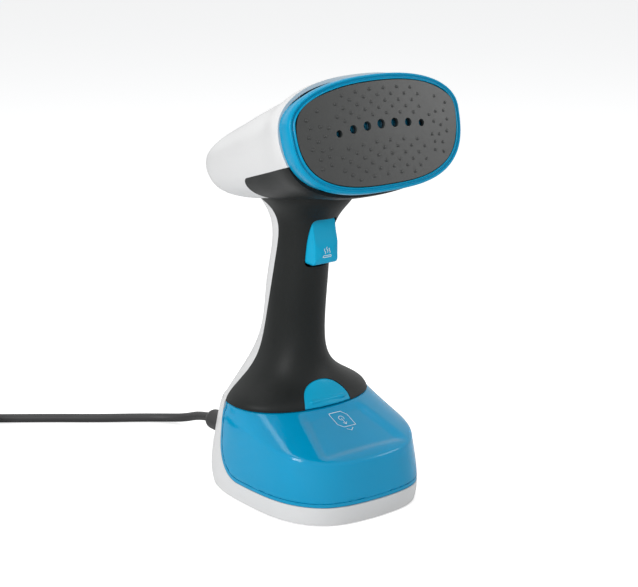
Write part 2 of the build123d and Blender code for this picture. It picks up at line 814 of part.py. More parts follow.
def bottom_plate():
    """Plate that closes the foot, with a rim inside the foot's wall."""
    plate = block & slab(foot_clearance, plate_line)
    rim = foot_prism(wall + fit_gap) - foot_prism(wall + 1.6)
    for x, y in base_screw_spots:
        rim = rim - rod(screw_radius + 2.6, (x, y, plate_line), (x, y, plate_line + 3))
        plate = plate - rod(screw_radius, (x, y, 0), (x, y, plate_line))
        plate = plate - rod(screw_head_radius, (x, y, 0), (x, y, foot_clearance + screw_head / 2))
    return plate + rim


def base_screws():
    """Screws from below through the plate into the foot's posts."""
    group = []
    for x, y in base_screw_spots:
        top = foot_clearance + screw_head / 2
        head = rod(screw_head_radius, (x, y, foot_clearance), (x, y, top))
        group.append(head + rod(screw_radius, (x, y, top), (x, y, plate_line + 5)))
    return Compound(children=group)


foot_spots = [(side * 34, y) for y in (-48, 48) for side in (-1, 1)]


def rubber_feet():
    """Four round pads under the plate."""
    return Compound(children=[rod(6.0, (x, y, 0), (x, y, foot_clearance)) for x, y in foot_spots])


# ---------------------------------------------------------------- mains entry

def cord_boot():
    """Bend relief: a flange inside the rear wall and a tapering sleeve with a domed end."""
    inside = boot_inside
    dome = boot_radius * 0.8
    profile = Polyline((0, inside), (boot_flange_radius, inside), (boot_flange_radius, inside + 2.2),
                       (boot_radius, inside + 2.2), (boot_radius, rear_wall_y + 6), (boot_radius - 0.6, boot_tip_y - dome))
    cap = ThreePointArc((boot_radius - 0.6, boot_tip_y - dome), (0.8 * boot_radius, boot_tip_y - 0.38 * dome),
                        (cord_diameter / 2 + 0.6, boot_tip_y))
    close = Polyline((cord_diameter / 2 + 0.6, boot_tip_y), (0, boot_tip_y), (0, inside))
    face = make_face([profile, cap, close])
    turned = revolve(face, Axis.Y)
    return Pos(0, 0, boot_height) * turned


def cord_tail():
    """The cord inside the foot, from the boot to the terminal block."""
    return rod(cord_diameter / 2, (0, terminal_y + 6, boot_height), (0, boot_inside, boot_height))


def terminal_block():
    """Terminal block on the plate."""
    return Pos(0, terminal_y, (plate_line + boot_height + 5) / 2) * Box(20, 12, boot_height + 5 - plate_line)


def cord_clamp():
    """Saddle over the cord, screwed down to the plate."""
    y = terminal_y + 12
    body = Pos(0, y, (plate_line + boot_height + 5) / 2) * Box(20, 6, boot_height + 5 - plate_line)
    body = body - rod(cord_diameter / 2, (0, y - 10, boot_height), (0, y + 10, boot_height))
    for x in (-7, 7):
        body = body - rod(screw_radius, (x, y, boot_height - 5), (x, y, boot_height + 10))
    return body


def clamp_screws():
    group = []
    y = terminal_y + 12
    for x in (-7, 7):
        top = boot_height + 5
        shank = rod(screw_radius, (x, y, boot_height - 5), (x, y, top))
        group.append(shank + rod(screw_head_radius - 0.6, (x, y, top), (x, y, top + 1.5)))
    return Compound(children=group)


def wiring():
    """Two wires from the terminal block up the spine to the head."""
    group = []
    for side in (-1, 1):
        x = side * wire_x
        points = [(x, terminal_y, boot_height + 5.3), (x, wire_y + 0.5, 40), (x, wire_y, 70), (x, 38, 96), (x, 29.5, 130),
                  (x, 24, 160), (x, 21.5, 190), (x, 8, 222), (x, -20, 238)]
        group.append(tube_along(points, 1.0, 8.0))
    return Compound(children=group)


# ---------------------------------------------------------------- mains cord, free outside

cord_low = cord_diameter / 2
cord_route = [
    (0, boot_tip_y, boot_height), (0, 137, 12.0), (-3, 152.5, 6.0), (-11, 168.5, 3.3), (-27, 181, cord_low),
    (-50, 196.5, cord_low), (-79, 219, cord_low), (-109, 240.5, cord_low), (-131, 257.5, cord_low),
]
coil_outer_turn = coil_turn_radius + (coil_wide - 1) / 2 * cord_diameter
coil_heading = (-0.8, 0.6)
coil_entry = (-153.6, 274.2)
coil_centre = (coil_entry[0] - 0.6 * coil_outer_turn, coil_entry[1] - 0.8 * coil_outer_turn)


def corner_radii(points):
    """For each corner, 0.45 of the shorter run beside it over the tangent of half the turn."""
    radii = []
    for before, here, after in zip(points, points[1:], points[2:]):
        first = Vector(here) - Vector(before)
        second = Vector(after) - Vector(here)
        turn = first.get_angle(second)
        radii.append(0.45 * min(first.length, second.length) / tan(radians(turn / 2)))
    return radii


def mains_cord():
    """The cord from the boot along the table to its coil."""
    end = (coil_entry[0] - coil_heading[0] * cord_end_back, coil_entry[1] - coil_heading[1] * cord_end_back, cord_low)
    points = cord_route + [end]
    radii = corner_radii(points)
    print("cord radii", [round(r) for r in radii])
    tube = tube_along(points, cord_low, radii)
    length = FilletPolyline(*points, radius=radii).length
    print("cord length", round(length, 1), "volume over section", round(tube.volume / (pi * cord_low ** 2), 1))
    return tube


def cord_coil():
    """The put-away length as one ring of its outer shape."""
    wide = coil_wide * cord_diameter
    high = coil_high * cord_diameter
    section = Pos(coil_turn_radius, high / 2) * RectangleRounded(wide, high, cord_low - 0.1)
    ring = revolve(Plane.XZ * section, Axis.Z)
    turns = coil_wide * coil_high
    print("coil length", round(2 * pi * coil_turn_radius * turns))
    return Pos(coil_centre[0], coil_centre[1], 0) * ring


def plug_place():
    """The plug lies on the coil, its tail above the top turn."""
    return Pos(coil_centre[0], coil_centre[1], coil_high * cord_diameter + plug_high / 2) * Rot(0, 0, plug_angle) * Pos(*plug_shift)


def plug_body():
    """Moulded two-pin plug that narrows to its cord."""
    sections = []
    for along, wide, high in ((0, plug_width, plug_high), (0.45, plug_width * 0.94, plug_high), (0.8, 15, 12), (1, 9.5, 9.5)):
        place = Plane(origin=(plug_length * (0.5 - along), 0, 0), x_dir=(0, 1, 0), z_dir=(-1, 0, 0))
        sections.append(place * RectangleRounded(wide, high, min(wide, high) * 0.3))
    return plug_place() * loft(sections, ruled=True)


def plug_pins():
    group = []
    for side in (-1, 1):
        y = side * pin_pitch / 2
        group.append(rod(plug_pin_radius, (plug_length / 2, y, 0), (plug_length / 2 + plug_pin_length, y, 0)))
    return plug_place() * Compound(children=group)


def main():
    os.makedirs("parts", exist_ok=True)
    tank_shell, tank_back = tank_pair()
    shapes = {"tank_shell": tank_shell, "tank_back": tank_back}
    for make in (rear_cover, front_grip, head_shell, face_ring, steam_plate, plate_seal, steam_diffuser,
                 boiler_body, heating_element, boiler_cover, boiler_screws, boiler_brackets, thermostat, thermal_fuse,
                 trigger, trigger_pin, trigger_spring, switch_body, switch_plunger, release_button, button_spring,
                 inner_frame, pump_body, pump_piston, pump_mounts, suction_tube, pressure_tube, filler_cap, filler_seal,
                 outlet_valve, valve_plunger, valve_spring, tank_socket, bottom_plate, base_screws, rubber_feet,
                 cord_boot, cord_tail, cord_clamp, clamp_screws, terminal_block, wiring, mains_cord, cord_coil,
                 plug_body, plug_pins):
        shapes[make.__name__] = make()
    for name, shape in shapes.items():
        print(name, round(shape.volume), shape.is_valid, len(shape.solids()))
        export_step(shape, f"parts/{name}.step")


main()
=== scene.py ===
# %% [markdown]
# # A handheld garment steamer
# The steamer stands on its own foot: a white foot and spine, a dark grip, a clear blue tank that
# slides off, and a wide steam plate in a blue ring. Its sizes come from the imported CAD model, which
# is loaded as a fixed frame. This file gives it its looks.

# %% Load the frame
import bmesh
import bpy
import json
import math
from mathutils import Matrix, Vector
from mathutils.bvhtree import BVHTree

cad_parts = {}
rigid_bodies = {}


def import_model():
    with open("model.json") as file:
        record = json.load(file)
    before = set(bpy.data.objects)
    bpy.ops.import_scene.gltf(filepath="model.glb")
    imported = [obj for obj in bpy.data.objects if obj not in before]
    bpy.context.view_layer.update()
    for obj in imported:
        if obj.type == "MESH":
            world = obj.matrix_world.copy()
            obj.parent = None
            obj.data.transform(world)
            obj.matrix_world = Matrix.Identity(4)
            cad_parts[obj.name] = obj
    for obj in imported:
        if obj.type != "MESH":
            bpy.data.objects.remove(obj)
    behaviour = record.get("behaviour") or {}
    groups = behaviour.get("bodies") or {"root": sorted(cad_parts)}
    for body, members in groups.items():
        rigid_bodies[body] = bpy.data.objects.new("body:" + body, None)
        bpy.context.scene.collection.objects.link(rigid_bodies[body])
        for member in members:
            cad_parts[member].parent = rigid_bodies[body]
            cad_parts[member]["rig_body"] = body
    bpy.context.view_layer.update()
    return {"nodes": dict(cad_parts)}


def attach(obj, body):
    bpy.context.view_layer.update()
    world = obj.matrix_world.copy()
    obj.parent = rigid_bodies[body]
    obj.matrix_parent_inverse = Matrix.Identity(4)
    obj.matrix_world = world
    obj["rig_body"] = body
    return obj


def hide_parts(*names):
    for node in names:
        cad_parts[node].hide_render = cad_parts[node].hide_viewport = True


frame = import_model()
mm = 0.001

# %% [markdown]
# ## Camera
# The view is a product view from the front left, a little above the object. A camera could be aimed
# by hand, but a direction and a distance can be read and changed here. A long lens keeps the foot's
# edges almost parallel, and a small shift frames the object without turning the camera.

# %% Camera
view_azimuth = math.radians(37.0)
view_fall = math.radians(15.02)
view_distance = 1.2
aim_height = 149.78 * mm
sensor_width = 36.0
lens_length = 101.5674
shift_right = 0.0137931
shift_down = 0.0301097
level = math.cos(view_fall)
look = Vector((math.sin(view_azimuth) * level, math.cos(view_azimuth) * level, -math.sin(view_fall)))
camera = bpy.data.objects.new("camera", bpy.data.cameras.new("camera"))
bpy.context.scene.collection.objects.link(camera)
camera.location = Vector((0, 0, aim_height)) - look * view_distance
camera.rotation_mode = "QUATERNION"
camera.rotation_quaternion = look.to_track_quat("-Z", "Y")
camera.data.sensor_width = sensor_width
camera.data.lens = lens_length
camera.data.shift_x = shift_right
camera.data.shift_y = -shift_down
camera.data.clip_start = 0.05
camera.data.clip_end = 100
bpy.context.scene.camera = camera
print("camera at", [round(v, 3) for v in camera.location])

# %% [markdown]
# ## Finishes
# Most of the steamer is moulded plastic. Each moulding has a very fine grain in the tool's surface,
# and small changes of gloss where hands and wiping have polished it. Noise on object coordinates
# makes both: it stays fixed to the piece from every side. One helper builds the family, and the
# gloss, the coat and the clearness are set on the shader's own sockets.

# %% Moulded finishes
mottle_scale = 22.0
gloss_swing = 0.15
grain_height = 0.0004
coat_roughness = 0.08


def moulded(name, colour, roughness, grain=900.0, depth=0.02, coat=0.0, clear=0.0, metal=0.0,
            spread=0.06, shine=0.4):
    """A moulded surface: base colour with faint mottling, uneven gloss and fine grain."""
    finish = bpy.data.materials.new(name)
    finish.use_nodes = True
    nodes = finish.node_tree.nodes
    links = finish.node_tree.links
    shader = nodes["Principled BSDF"]
    place = nodes.new("ShaderNodeTexCoord")
    mottle = nodes.new("ShaderNodeTexNoise")
    mottle.inputs["Scale"].default_value = mottle_scale
    mottle.inputs["Detail"].default_value = 4.0
    links.new(place.outputs["Object"], mottle.inputs["Vector"])
    ramp = nodes.new("ShaderNodeValToRGB")
    ramp.color_ramp.elements[0].position = 0.3
    ramp.color_ramp.elements[1].position = 0.7
    ramp.color_ramp.elements[0].color = (*[c * (1 - spread) for c in colour], 1)
    ramp.color_ramp.elements[1].color = (*[min(1, c * (1 + spread)) for c in colour], 1)
    links.new(mottle.outputs["Fac"], ramp.inputs["Fac"])
    links.new(ramp.outputs["Color"], shader.inputs["Base Color"])
    gloss = nodes.new("ShaderNodeMapRange")
    gloss.inputs["To Min"].default_value = roughness * (1 - gloss_swing)
    gloss.inputs["To Max"].default_value = roughness * (1 + gloss_swing)
    links.new(mottle.outputs["Fac"], gloss.inputs["Value"])
    links.new(gloss.outputs["Result"], shader.inputs["Roughness"])
    fine = nodes.new("ShaderNodeTexNoise")
    fine.inputs["Scale"].default_value = grain
    fine.inputs["Detail"].default_value = 3.0
    links.new(place.outputs["Object"], fine.inputs["Vector"])
    bump = nodes.new("ShaderNodeBump")
    bump.inputs["Strength"].default_value = depth
    bump.inputs["Distance"].default_value = grain_height
    links.new(fine.outputs["Fac"], bump.inputs["Height"])
    links.new(bump.outputs["Normal"], shader.inputs["Normal"])
    shader.inputs["Metallic"].default_value = metal
    shader.inputs["Specular IOR Level"].default_value = shine
    shader.inputs["Coat Weight"].default_value = coat
    shader.inputs["Coat Roughness"].default_value = coat_roughness
    shader.inputs["Transmission Weight"].default_value = clear
    return finish

# %% The finishes
white_gloss = moulded("white_gloss", (0.72, 0.72, 0.72), 0.36, depth=0.05, coat=0.06, spread=0.012,
                      shine=0.2)
grip_soft = moulded("grip_soft", (0.013, 0.0145, 0.014), 0.46, grain=1500.0, depth=0.25, spread=0.1,
                    shine=0.16)
ring_gloss = moulded("ring_gloss", (0.0, 0.31, 0.54), 0.30, depth=0.03, coat=0.04, shine=0.12)
key_gloss = moulded("key_gloss", (0.004, 0.39, 0.64), 0.32, depth=0.04, coat=0.04, shine=0.12)
tank_clear = moulded("tank_clear", (0.0, 0.42, 0.74), 0.12, depth=0.01, coat=0.08, clear=0.30,
                     spread=0.03, shine=0.14)
plate_coat = moulded("plate_coat", (0.038, 0.040, 0.039), 0.34, grain=2200.0, depth=0.12,
                     spread=0.05, shine=0.42)
diffuser_blue = moulded("diffuser_blue", (0.002, 0.30, 0.52), 0.4)
rubber_black = moulded("rubber_black", (0.028, 0.028, 0.029), 0.5, grain=1200.0, depth=0.2, spread=0.15)
inner_grey = moulded("inner_grey", (0.45, 0.46, 0.47), 0.5, depth=0.1)
inner_pale = moulded("inner_pale", (0.72, 0.73, 0.74), 0.45, depth=0.08, spread=0.03)
control_dark = moulded("control_dark", (0.05, 0.05, 0.052), 0.5, depth=0.1)
red_button = moulded("red_button", (0.55, 0.04, 0.03), 0.4)
tube_soft = moulded("tube_soft", (0.66, 0.67, 0.64), 0.5, depth=0.1, spread=0.04)
wire_brown = moulded("wire_brown", (0.22, 0.09, 0.03), 0.45)
cast_alloy = moulded("cast_alloy", (0.55, 0.56, 0.57), 0.45, grain=700.0, depth=0.3, metal=1.0, spread=0.08)
plain_steel = moulded("plain_steel", (0.56, 0.57, 0.58), 0.3, grain=1400.0, depth=0.1, metal=1.0, spread=0.08)
pin_brass = moulded("pin_brass", (0.72, 0.55, 0.26), 0.25, depth=0.05, metal=1.0, spread=0.05)
sign_white = moulded("sign_white", (0.78, 0.86, 0.89), 0.4, depth=0.02, spread=0.02)
print("finishes", len(bpy.data.materials))

# %% [markdown]
# ## Light and floor
# A pale studio: an even surround, one tall soft lamp on the left that draws the long highlights, a
# weaker one on the right and one above. The surround could be made brighter until it looks white,
# but then it would wash the colours out. Instead it is white only to the rays that show it, which
# the Light Path node tells apart. The floor is plain, and glows a little to the same rays.

# %% Surround
def seen_by(tree, kinds):
    """An output that is 1 for these kinds of ray and 0 for the rest."""
    light_path = tree.nodes.new("ShaderNodeLightPath")
    found = light_path.outputs[kinds[0]]
    for kind in kinds[1:]:
        either = tree.nodes.new("ShaderNodeMath")
        either.operation = "MAXIMUM"
        tree.links.new(found, either.inputs[0])
        tree.links.new(light_path.outputs[kind], either.inputs[1])
        found = either.outputs[0]
    return found


surround = bpy.data.worlds.new("surround")
bpy.context.scene.world = surround
surround.use_nodes = True
tree = surround.node_tree
tree.nodes.clear()
out = tree.nodes.new("ShaderNodeOutputWorld")
blend = tree.nodes.new("ShaderNodeMixShader")
even = tree.nodes.new("ShaderNodeBackground")
even.inputs["Color"].default_value = (0.36, 0.365, 0.37, 1)
white = tree.nodes.new("ShaderNodeBackground")
white.inputs["Color"].default_value = (1, 1, 1, 1)
showing = seen_by(tree, ["Is Camera Ray", "Is Transmission Ray", "Is Glossy Ray"])
tree.links.new(showing, blend.inputs[0])
tree.links.new(even.outputs[0], blend.inputs[1])
tree.links.new(white.outputs[0], blend.inputs[2])
tree.links.new(blend.outputs[0], out.inputs[0])
bpy.context.scene.view_settings.view_transform = "Standard"
print("surround", surround.name)

# %% Lamps
def lamp(name, place, target, wide, tall, power):
    """A soft rectangular lamp aimed at a point."""
    light = bpy.data.lights.new(name, "AREA")
    light.shape = "RECTANGLE"
    light.size = wide
    light.size_y = tall
    light.energy = power
    holder = bpy.data.objects.new(name, light)
    bpy.context.scene.collection.objects.link(holder)
    holder.location = place
    holder.rotation_mode = "QUATERNION"
    holder.rotation_quaternion = (Vector(target) - Vector(place)).to_track_quat("-Z", "Y")
    return holder


lamp("key", (-1.25, -0.35, 0.75), (0, 0, 0.12), 0.35, 0.9, 12.0)
lamp("fill", (1.1, -0.9, 0.7), (0, 0, 0.15), 0.6, 0.6, 4.6)
lamp("top", (0.1, 0.3, 1.4), (0, 0, 0.1), 0.8, 0.8, 6.0)
print("lamps", len(bpy.data.lights))

# %% Floor
floor_reach = 16.0
floor_glow = 0.55
floor_mesh = bpy.data.meshes.new("floor")
floor_corners = [(floor_reach * x, floor_reach * y, 0) for x, y in ((-1, -1), (1, -1), (1, 1), (-1, 1))]
floor_mesh.from_pydata(floor_corners, [], [(0, 1, 2, 3)])
floor = bpy.data.objects.new("floor", floor_mesh)
bpy.context.scene.collection.objects.link(floor)
paper = bpy.data.materials.new("paper")
paper.use_nodes = True
tree = paper.node_tree
tree.nodes.clear()
out = tree.nodes.new("ShaderNodeOutputMaterial")
total = tree.nodes.new("ShaderNodeAddShader")
matt = tree.nodes.new("ShaderNodeBsdfDiffuse")
matt.inputs["Color"].default_value = (0.90, 0.90, 0.90, 1)
glow = tree.nodes.new("ShaderNodeEmission")
amount = tree.nodes.new("ShaderNodeMath")
amount.operation = "MULTIPLY"
amount.inputs[1].default_value = floor_glow
tree.links.new(seen_by(tree, ["Is Camera Ray", "Is Transmission Ray"]), amount.inputs[0])
tree.links.new(amount.outputs[0], glow.inputs["Strength"])
tree.links.new(matt.outputs[0], total.inputs[0])
tree.links.new(glow.outputs[0], total.inputs[1])
tree.links.new(total.outputs[0], out.inputs[0])
floor_mesh.materials.append(paper)
print("floor", floor_reach, "m each way")

# %% [markdown]
# ## Mains cord
# A mains lead of 6.4 mm leaves a rubber boot in the rear wall, drops to the table and runs off to
# one side, where the rest is wound into nearly nine turns, three to a layer, with the plug on top. A
# cord has one smooth line, so it is a single NURBS curve whose control points are the route. The
# free run is a few listed points, and a loop works out the turns of the coil.

# %% Cord route
cord_radius = 3.2 * mm
route = [(0, 122, 14.5), (0, 137, 12), (-3, 152.5, 6), (-11, 168.5, 3.3), (-27, 181, 3.2), (-50, 196.5, 3.2),
         (-79, 219, 3.2), (-109, 240.5, 3.2), (-131, 257.5, 3.2)]
coil_centre = Vector((-178.44, 241.08))
entry_angle = math.atan2(0.8, 0.6)
turn_radii = [41.4, 35.0, 28.6, 28.6, 35.0, 41.4, 41.4, 35.0, 28.6]
layer_turns = 3
layer_height = 6.4
lying_height = 3.2
coil_turns = 8.55
plug_turn = math.radians(150)


def ease(value):
    """0 before the start, 1 after the end, smooth between."""
    value = min(1.0, max(0.0, value))
    return value * value * (3 - 2 * value)


def round_coil(turns, radius, height):
    """A point of the coil, after some turns from where the cord enters it."""
    angle = entry_angle + 2 * math.pi * turns
    return coil_centre.x + radius * math.cos(angle), coil_centre.y + radius * math.sin(angle), height


def beside_coil(along, across):
    """A point in the plug's own directions, on the table plane."""
    c, s = math.cos(plug_turn), math.sin(plug_turn)
    return coil_centre.x + c * along - s * across, coil_centre.y + s * along + c * across

# %% Turns of the coil
turn_points = 16
swell = 1 / math.cos(math.pi / turn_points)
last_turn = len(turn_radii) - 1
coil_points = []
for count in range(int(coil_turns * turn_points)):
    turns = count / turn_points
    whole = int(turns)
    part = turns - whole
    step_out = turn_radii[min(whole + 1, last_turn)] - turn_radii[whole]
    radius = turn_radii[whole] + step_out * ease((part - 0.82) / 0.18)
    layer = whole // layer_turns
    if whole % layer_turns == layer_turns - 1 and whole < last_turn:
        layer += ease((part - 0.55) / 0.25)
    coil_points.append(round_coil(turns, swell * radius, lying_height + layer_height * layer))
for turns, radius, height in ((8.58, 28.9, 16.6), (8.64, 29.8, 19.2), (8.70, 31.8, 22.6),
                              (8.76, 34.8, 25.6), (8.82, 38.2, 27.0)):
    coil_points.append(round_coil(turns, radius, height))
coil_points.append((*beside_coil(-24, -30), 27.2))
coil_points.append((*beside_coil(-15, -30), 27.2))
print("route points", len(route), "coil points", len(coil_points))

# %% Cord curve
cord_curve = bpy.data.curves.new("mains_lead", "CURVE")
cord_curve.dimensions = "3D"
line = cord_curve.splines.new("NURBS")
cord_points = [Vector(p) * mm for p in route + coil_points]
line.points.add(len(cord_points) - 1)
for point, place in zip(line.points, cord_points):
    point.co = (*place, 1)
line.order_u = 3
line.use_endpoint_u = True
line.resolution_u = 6
cord_curve.bevel_depth = cord_radius
cord_curve.bevel_resolution = 5
cord_curve.use_fill_caps = True
cord_curve.materials.append(rubber_black)
mains_lead = bpy.data.objects.new("mains_lead", cord_curve)
bpy.context.scene.collection.objects.link(mains_lead)
print("control points", len(line.points))

# %% Centre line of the lead as a bare mesh
bare = cord_curve.copy()
bare.bevel_depth = 0
bare_object = bpy.data.objects.new("bare_line", bare)
bpy.context.scene.collection.objects.link(bare_object)
bpy.context.view_layer.update()
seen_now = bpy.context.evaluated_depsgraph_get()
bare_mesh = bpy.data.meshes.new_from_object(bare_object.evaluated_get(seen_now))
bpy.data.objects.remove(bare_object)

# %% [markdown]
# ## Casings
# The casings are hard mouldings, and their exact forms are in the CAD model already. They could be
# modelled again here, but then they would no longer fit. The CAD meshes are loose triangles, which
# show as facets, so each one that shows is copied, its doubled points are merged and its faces are
# shaded smooth up to the real edges. The copy then stands for the CAD node.

# %% Smooth copies
def link_piece(name, verts, faces, finish, body, sharp=32.0):
    """A plain mesh piece at the origin, smooth up to its sharp edges, that rides on a body."""
    mesh = bpy.data.meshes.new(name)
    mesh.from_pydata(verts, [], faces)
    mesh.validate()
    mesh.shade_smooth()
    mesh.set_sharp_from_angle(angle=math.radians(sharp))
    mesh.materials.append(finish)
    piece = bpy.data.objects.new(name, mesh)
    bpy.context.scene.collection.objects.link(piece)
    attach(piece, body)
    return piece


def node_body(node):
    return frame["nodes"][node]["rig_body"]


def smooth_copy(node, name, finish, sharp=32.0):
    """A merged, smooth copy that stands for a CAD node."""
    form = bmesh.new()
    form.from_mesh(frame["nodes"][node].data)
    bmesh.ops.remove_doubles(form, verts=form.verts, dist=3e-6)
    verts = [v.co.copy() for v in form.verts]
    faces = [[v.index for v in f.verts] for f in form.faces]
    form.free()
    piece = link_piece(name, verts, faces, finish, node_body(node), sharp)
    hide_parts(node)
    return piece

# %% The casings' copies
copies = {}
for node, name, finish, slot, sharp in (
        ("rear_cover", "white_foot_and_spine", white_gloss, "white_plastic", 30),
        ("head_shell", "white_hood", white_gloss, "white_plastic", 30),
        ("front_grip", "dark_grip", grip_soft, "grip_plastic", 30),
        ("steam_plate", "bowed_plate", plate_coat, "plate_metal", 30),
        ("steam_diffuser", "nozzle_plate", diffuser_blue, "diffuser_plastic", 30),
        ("tank_back", "tank_rear", tank_clear, "tank_plastic", 24),
        ("bottom_plate", "closing_plate", white_gloss, "plate_plastic", 30),
        ("rubber_feet", "foot_pads", rubber_black, "soft_rubber", 30),
        ("filler_cap", "filler_lid", inner_pale, "cap_plastic", 30),
        ("cord_boot", "bend_relief", rubber_black, "cord_rubber", 30),
        ("plug_body", "plug_moulding", rubber_black, "plug_plastic", 40),
        ("plug_pins", "plug_prongs", pin_brass, "pin_brass", 30)):
    copies[node] = smooth_copy(node, name, finish, sharp)
print("smooth copies", len(copies))

# %% [markdown]
# ## Softened pieces
# The trigger, the release button and the tank have rounded edges, which a moulding gets from its
# tool. A bevel modifier needs clean faces, which these copies don't have. A voxel remesh gives them
# an even skin instead, and a little smoothing then rounds every edge alike. On the tank the same
# skin is fine enough to press in the shallow dish in front of the button.

# %% Even skins
def softened(node, name, finish, voxel, passes, press=None):
    """An evenly meshed copy of a CAD node with its edges softened, that may be pressed in places."""
    piece = smooth_copy(node, name + "_rough", finish)
    even = piece.modifiers.new("even", "REMESH")
    even.mode = "VOXEL"
    even.voxel_size = voxel
    even.use_smooth_shade = True
    soft = piece.modifiers.new("soft", "SMOOTH")
    soft.factor = 0.5
    soft.iterations = passes
    bpy.context.view_layer.update()
    mesh = bpy.data.meshes.new_from_object(piece.evaluated_get(bpy.context.evaluated_depsgraph_get()))
    verts = [v.co.copy() for v in mesh.vertices]
    if press:
        verts = [press(v) for v in verts]
    faces = [list(f.vertices) for f in mesh.polygons]
    bpy.data.objects.remove(piece)
    bpy.data.meshes.remove(mesh)
    soft_piece = link_piece(name, verts, faces, finish, node_body(node), 60)
    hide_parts(node)
    return soft_piece

# %% Dish and softened pieces
dish_depth = 2.2
dish_half_width = 24
dish_widening = 0.28
dish_widens_from = 18
dish_start = 19
dish_end = 56
dish_edge = 9
dish_inset = 7
dish_low = 40
dish_rise = 8


def dish(place):
    """Lowers the tank's sloping top between its shoulders."""
    x, y, z = place.x / mm, place.y / mm, place.z / mm
    half = dish_half_width + dish_widening * max(0.0, -y - dish_widens_from)
    across = 1 - ease((abs(x) - half + dish_inset) / dish_edge)
    along = ease((-y - dish_start) / dish_edge) * (1 - ease((-y - dish_end) / dish_edge))
    high = ease((z - dish_low) / dish_rise)
    return Vector((place.x, place.y, place.z - dish_depth * mm * across * along * high))


copies["trigger"] = softened("trigger", "steam_trigger", key_gloss, 0.42 * mm, 5)
copies["release_button"] = softened("release_button", "tank_button", key_gloss, 0.45 * mm, 2)
copies["tank_shell"] = softened("tank_shell", "clear_tank", tank_clear, 0.95 * mm, 2, dish)
print("softened", [len(copies[n].data.polygons) for n in ("trigger", "release_button", "tank_shell")])

# %% [markdown]
# ## Blue ring
# The ring frames the plate. Its section has a thin raised lip beside the plate, a shallow groove,
# a rounded outer band, and a long flank that runs back to the hood. A curve with a bevel profile
# would swing the section as it turns the corners, so the ring is a mesh: the section is carried
# round the plate's own outline by a loop, and its front follows the plate's slight bow.

# %% Plate outline
plate_half_width = 63.1
plate_up = 23.5
plate_down = 40.5
plate_middle = 8.5
plate_up_power = 2.23
plate_down_power = 2.78
plate_bow_radius = 756.0
head_front = -74.4 * mm
head_height = 256.8 * mm
head_tilt = math.radians(-14.0)
head_place = Matrix.Translation((0, head_front, head_height)) @ Matrix.Rotation(head_tilt, 4, "X")


def plate_half(upper, margin):
    """The reach and the power of the outline's upper or lower half."""
    if upper:
        return plate_up + margin, plate_up_power
    return plate_down + margin, plate_down_power


def plate_edge(angle, margin):
    """A point of the plate's outline, moved out by margin, in the plate's flat directions."""
    c, s = math.cos(angle), math.sin(angle)
    reach, power = plate_half(s > 0, margin)
    radius = (abs(c / (plate_half_width + margin)) ** power + abs(s / reach) ** power) ** (-1 / power)
    return radius * c, plate_middle + radius * s


def bow_depth(x):
    """How far the plate's bowed face lies behind its middle."""
    return plate_bow_radius - math.sqrt(plate_bow_radius ** 2 - x * x)


print("plate", 2 * plate_half_width, "by", plate_up + plate_down, "mm")

# %% Ring section carried round the plate
front_section = [(0.5, 3.2), (0.5, 0.4), (0.55, -0.1), (0.75, -0.35), (1.05, -0.3), (1.3, 0.0),
                 (1.55, 0.55), (1.9, 0.85), (2.4, 0.8), (2.8, 0.4), (3.1, 0.0), (3.4, -0.15),
                 (3.75, -0.1), (4.1, 0.25), (4.4, 0.8)]
flank_section = [(4.7, 4.6), (4.72, 5.6), (4.4, 8.0), (3.7, 11.0), (2.9, 14.0), (2.3, 16.9),
                 (0.5, 16.9), (0.5, 9.0)]
flank_widest = 4.5
flank_behind_bow = 1.6
around = 180
ring_verts = []
for step in range(around):
    angle = 2 * math.pi * step / around
    for margin, back in front_section:
        x, up = plate_edge(angle, margin)
        ring_verts.append(head_place @ Vector((x * mm, (bow_depth(x) + back) * mm, up * mm)))
    for margin, depth in flank_section:
        x, up = plate_edge(angle, margin)
        if margin > flank_widest:
            depth = max(depth, bow_depth(x) + flank_behind_bow)
        ring_verts.append(head_place @ Vector((x * mm, depth * mm, up * mm)))
loop = len(front_section) + len(flank_section)
ring_faces = []
for step in range(around):
    here = step * loop
    there = (step + 1) % around * loop
    for index in range(loop):
        onward = (index + 1) % loop
        ring_faces.append((here + index, there + index, there + onward, here + onward))
blue_ring = link_piece("blue_ring", ring_verts, ring_faces, ring_gloss, "housing", 50)
form = bmesh.new()
form.from_mesh(blue_ring.data)
bmesh.ops.recalc_face_normals(form, faces=form.faces)
form.to_mesh(blue_ring.data)
form.free()
blue_ring.data.shade_smooth()
blue_ring.data.set_sharp_from_angle(angle=math.radians(50))
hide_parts("face_ring")
print("ring faces", len(ring_faces))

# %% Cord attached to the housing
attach(mains_lead, "housing")
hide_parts("mains_cord", "cord_coil")

# %% [markdown]
# ## Pieces inside
# The pump, tubes, switch and steam generator show only when the casings are taken off, and the
# outlet valve when the tank is out. Modelling them again would add nothing, because their CAD shapes
# are plain and already right. So each keeps its mesh and gets its own finish.

# %% Finishes of the inner pieces
inner_finishes = {
    inner_grey: ["inner_frame", "cord_clamp"],
    inner_pale: ["pump_body", "outlet_valve", "valve_plunger", "tank_socket"],
    control_dark: ["thermostat", "thermal_fuse", "switch_body", "terminal_block"],
    red_button: ["switch_plunger"],
    tube_soft: ["suction_tube", "pressure_tube"],
    wire_brown: ["wiring"],
    cast_alloy: ["boiler_body", "boiler_cover"],
    plain_steel: ["heating_element", "boiler_screws", "boiler_brackets", "trigger_pin", "trigger_spring",
                  "button_spring", "valve_spring", "base_screws", "clamp_screws", "pump_piston"],
    rubber_black: ["filler_seal", "plate_seal", "pump_mounts", "cord_tail"],
}
for finish, names in inner_finishes.items():
    for node in names:
        mesh = frame["nodes"][node].data
        mesh.materials.clear()
        mesh.materials.append(finish)
print("inner pieces", sum(len(names) for names in inner_finishes.values()))

